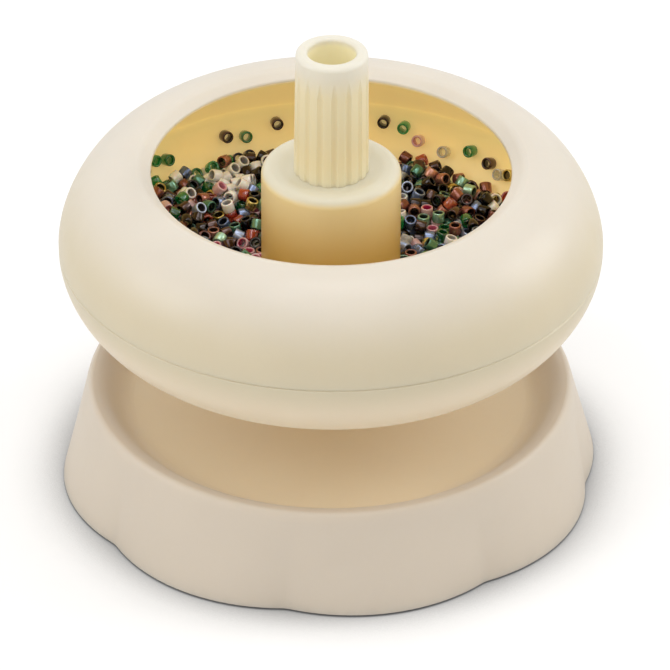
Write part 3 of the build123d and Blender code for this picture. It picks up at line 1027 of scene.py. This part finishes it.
def cling(look, rests, kinds):
    """Stick the clinging beads to the wall, flat end on, and take away any bead that is in their way."""
    clinging = []
    for turn, height, kind in clinging_beads:
        point, normal = wall_point(height * mm, math.radians(turn))
        place = point + normal * (clinging_lift * look.height)
        flat_on = normal.to_track_quat("Z", "Y").to_matrix().to_4x4()
        clinging.append((Matrix.Translation(place) @ flat_on, kind))
    clear = clinging_gap * look.width
    pairs = [
        (rest, kind) for rest, kind in zip(rests, kinds)
        if all((rest.translation - stuck.translation).length > clear for stuck, own in clinging)
    ]
    return pairs + clinging


def choose_kinds(rests, rng):
    """A kind of glass for each bead: the mix, thickened where a kind lies in a patch."""
    kinds = list(bead_mix)
    chosen = []
    for rest in rests:
        weights = []
        for kind in kinds:
            weight = bead_mix[kind][0]
            for centre, width, more in bead_patches.get(kind, ()):
                away = math.hypot(rest.translation.x / mm - centre[0], rest.translation.y / mm - centre[1])
                weight *= 1 + more * math.exp(-((away / width) ** 2))
            weights.append(weight)
        chosen.append(rng.choices(kinds, weights)[0])
    return chosen


def joined_beads(name, pattern, rests):
    """One mesh object made of copies of the bead at each place."""
    verts = [v.co.copy() for v in pattern.vertices]
    faces = [tuple(f.vertices) for f in pattern.polygons]
    marks = [d.value for d in pattern.attributes["bead_bore"].data]
    points = []
    sides = []
    for number, rest in enumerate(rests):
        points.extend(rest @ v for v in verts)
        sides.extend(tuple(v + number * len(verts) for v in face) for face in faces)
    mesh = bpy.data.meshes.new(name)
    mesh.from_pydata(points, [], sides)
    mesh.polygons.foreach_set("use_smooth", [True] * len(mesh.polygons))
    attribute = mesh.attributes.new("bead_bore", "FLOAT", "POINT")
    attribute.data.foreach_set("value", marks * len(rests))
    made = bpy.data.objects.new(name, mesh)
    bpy.context.scene.collection.objects.link(made)
    return made


class SPINNER_OT_pour_beads(bpy.types.Operator):
    """Fill the bowl with settled glass beads in place of the plain heap"""

    bl_idname = "spinner.pour_beads"
    bl_label = "Pour the beads"

    def execute(self, context):
        look = context.scene.spinner_beads
        rng = random.Random(look.seed)
        rests = levelled(look, settle(look, rng))
        beads_and_kinds = cling(look, rests, choose_kinds(rests, rng))
        pattern = bead_mesh(look, 1.0)
        for kind, (portion, make, tones) in bead_mix.items():
            own = [rest for rest, name in beads_and_kinds if name == kind]
            if not own:
                raise RuntimeError("no bead of kind " + kind)
            beads = joined_beads("beads_" + kind, pattern, own)
            beads.data.materials.append(bead_glass(kind, make, tones))
            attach(beads, "bowl")
            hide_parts("bead_fill")
        return {"FINISHED"}


# The lamps: each one's name, the setting that holds its power, its place and its width
lamps = (
    ("ceiling_lamp", "ceiling", (0.0, 0.05, 0.6), 0.3),
    ("left_lamp", "left", (-0.55, 0.0, 0.3), 0.3),
    ("right_lamp", "right", (0.55, 0.0, 0.3), 0.3),
    ("small_lamp", "sparkle", (-0.2, -0.1, 0.6), 0.06),
    ("front_lamp", "front", (-0.08, -0.32, 0.5), 0.3),
)
lamp_aim = (0.0, 0.0, 0.03)
white = (1.0, 1.0, 1.0)

# The camera's sensor in millimetres, and what it sees between
sensor_width = 36.0
nearest = 0.01
farthest = 20.0

# The floor: how dark its painted contact shadow round the spinner is, how open a place must be to be out of
# it, how finely that is sampled, and how far from the axle the floor starts to be lifted more
shadow_share = 0.3
open_range = (0.4, 1.0)
open_samples = 8
far_range = (0.12, 0.7)


def area_lamp(name, place, width, power):
    """A square soft lamp that looks at the spinner's middle."""
    lamp = bpy.data.lights.new(name, "AREA")
    lamp.shape = "SQUARE"
    lamp.size = width
    lamp.energy = power
    made = bpy.data.objects.new(name, lamp)
    made.location = place
    made.rotation_euler = (Vector(lamp_aim) - Vector(place)).to_track_quat("-Z", "Y").to_euler()
    bpy.context.scene.collection.objects.link(made)


def set_camera(look):
    """The camera, from its angles about the axle and the small turns that frame the picture."""
    out = Vector((
        math.sin(look.azimuth) * math.cos(look.elevation),
        -math.cos(look.azimuth) * math.cos(look.elevation),
        math.sin(look.elevation),
    ))
    right = Vector((math.cos(look.azimuth), math.sin(look.azimuth), 0.0))
    ahead = -out
    up = right.cross(ahead)
    ahead, up = (
        ahead * math.cos(look.pitch) - up * math.sin(look.pitch),
        up * math.cos(look.pitch) + ahead * math.sin(look.pitch),
    )
    ahead, right = (
        ahead * math.cos(look.yaw) + right * math.sin(look.yaw),
        right * math.cos(look.yaw) - ahead * math.sin(look.yaw),
    )
    right, up = (
        right * math.cos(look.roll) + up * math.sin(look.roll),
        up * math.cos(look.roll) - right * math.sin(look.roll),
    )
    lens = bpy.data.cameras.new("camera")
    lens.lens = look.lens
    lens.sensor_width = sensor_width
    lens.clip_start = nearest
    lens.clip_end = farthest
    camera = bpy.data.objects.new("camera", lens)
    turn = Matrix((right, up, -ahead)).transposed().to_4x4()
    camera.matrix_world = Matrix.Translation(Vector(look.target) + out * look.distance) @ turn
    bpy.context.scene.collection.objects.link(camera)
    bpy.context.scene.camera = camera


def set_room(look):
    """Even light from all round, and a white room where the camera or a reflection looks past the lamps."""
    world = bpy.data.worlds.new("studio_room")
    world.use_nodes = True
    world.node_tree.nodes.clear()
    wire = Wire(world.node_tree)
    camera = wire.node("ShaderNodeLightPath", None, None, "Is Camera Ray")
    seen = camera.sum("MAXIMUM", camera, camera.beside("Is Transmission Ray"))
    seen = camera.sum("MAXIMUM", seen, camera.beside("Is Glossy Ray"))
    strength = seen.between(look.room, 1.0)
    glow = wire.node("ShaderNodeBackground", None, {"Color": white, "Strength": strength})
    wire.node("ShaderNodeOutputWorld", None, {"Surface": glow})
    bpy.context.scene.world = world


def set_floor(look):
    """A wide pale sheet that shows white but keeps the spinner's shadow, with a contact shadow round the
    foot painted into its colour and its lift.
    """
    reach = look.floor_reach
    made = bmesh.new()
    rim = [made.verts.new((x * reach, y * reach, 0.0)) for x, y in ((-1, -1), (1, -1), (1, 1), (-1, 1))]
    made.faces.new(rim)
    mesh = bpy.data.meshes.new("floor_sheet")
    made.to_mesh(mesh)
    made.free()
    floor = bpy.data.objects.new("floor_sheet", mesh)
    bpy.context.scene.collection.objects.link(floor)
    finish = Finish("floor_paper")
    near = {"samples": open_samples, "only_local": False}
    open_air = finish.node("ShaderNodeAmbientOcclusion", near, {"Distance": look.contact}, "AO")
    camera = finish.node("ShaderNodeLightPath", None, None, "Is Camera Ray")
    # Painted shadow: the paper is darkened, and its lift dimmed, where little open air reaches it round the
    # spinner's foot
    paper = open_air.step(*open_range).tint(dimmer(look.floor, shadow_share), tuple(look.floor))
    sheet = finish.node("ShaderNodeBsdfDiffuse", None, {"Color": paper})
    away = finish.from_axle()[0].step(*far_range)
    strength = camera * open_air * away.between(look.floor_lift, look.far_lift)
    lift = finish.node("ShaderNodeEmission", None, {"Color": white, "Strength": strength})
    both = finish.node("ShaderNodeAddShader", None, {0: sheet, 1: lift})
    finish.node("ShaderNodeOutputMaterial", None, {"Surface": both})
    mesh.materials.append(finish.material)


class SPINNER_OT_set_stage(bpy.types.Operator):
    """Set the camera, the lamps, the white room and the floor"""

    bl_idname = "spinner.set_stage"
    bl_label = "Set the stage"

    def execute(self, context):
        look = context.scene.spinner_studio
        set_camera(look)
        set_room(look)
        set_floor(look)
        for name, setting, place, width in lamps:
            area_lamp(name, place, width, getattr(look, setting))
        context.scene.view_settings.view_transform = "Standard"
        return {"FINISHED"}


class SPINNER_PT_panel(bpy.types.Panel):
    """The steps that dress the bead spinner, in order"""

    bl_label = "Bead Spinner"
    bl_idname = "SPINNER_PT_panel"
    bl_space_type = "VIEW_3D"
    bl_region_type = "UI"
    bl_category = "Bead Spinner"

    def draw(self, context):
        for step in steps:
            self.layout.operator(step.bl_idname)
        for name in settings:
            group = getattr(context.scene, name)
            for prop in group.bl_rna.properties:
                if prop.identifier not in ("rna_type", "name"):
                    self.layout.prop(group, prop.identifier)


settings = {
    "spinner_plastics": SpinnerPlastics,
    "spinner_metals": SpinnerMetals,
    "spinner_beads": SpinnerBeads,
    "spinner_studio": SpinnerStudio,
}
steps = (SPINNER_OT_mould, SPINNER_OT_fit_metals, SPINNER_OT_pour_beads, SPINNER_OT_set_stage)


def register():
    """Add the settings, the operators and the panel."""
    for group in settings.values():
        bpy.utils.register_class(group)
    for name, group in settings.items():
        setattr(bpy.types.Scene, name, bpy.props.PointerProperty(type=group))
    for step in steps:
        bpy.utils.register_class(step)
    bpy.utils.register_class(SPINNER_PT_panel)


def unregister():
    """Take away what register added."""
    bpy.utils.unregister_class(SPINNER_PT_panel)
    for step in reversed(steps):
        bpy.utils.unregister_class(step)
    for name, group in settings.items():
        delattr(bpy.types.Scene, name)
        bpy.utils.unregister_class(group)


def main():
    """Dress the spinner."""
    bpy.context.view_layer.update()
    register()
    bpy.ops.spinner.mould()
    bpy.ops.spinner.fit_metals()
    bpy.ops.spinner.pour_beads()
    bpy.ops.spinner.set_stage()


if __name__ == "__main__":
    main()
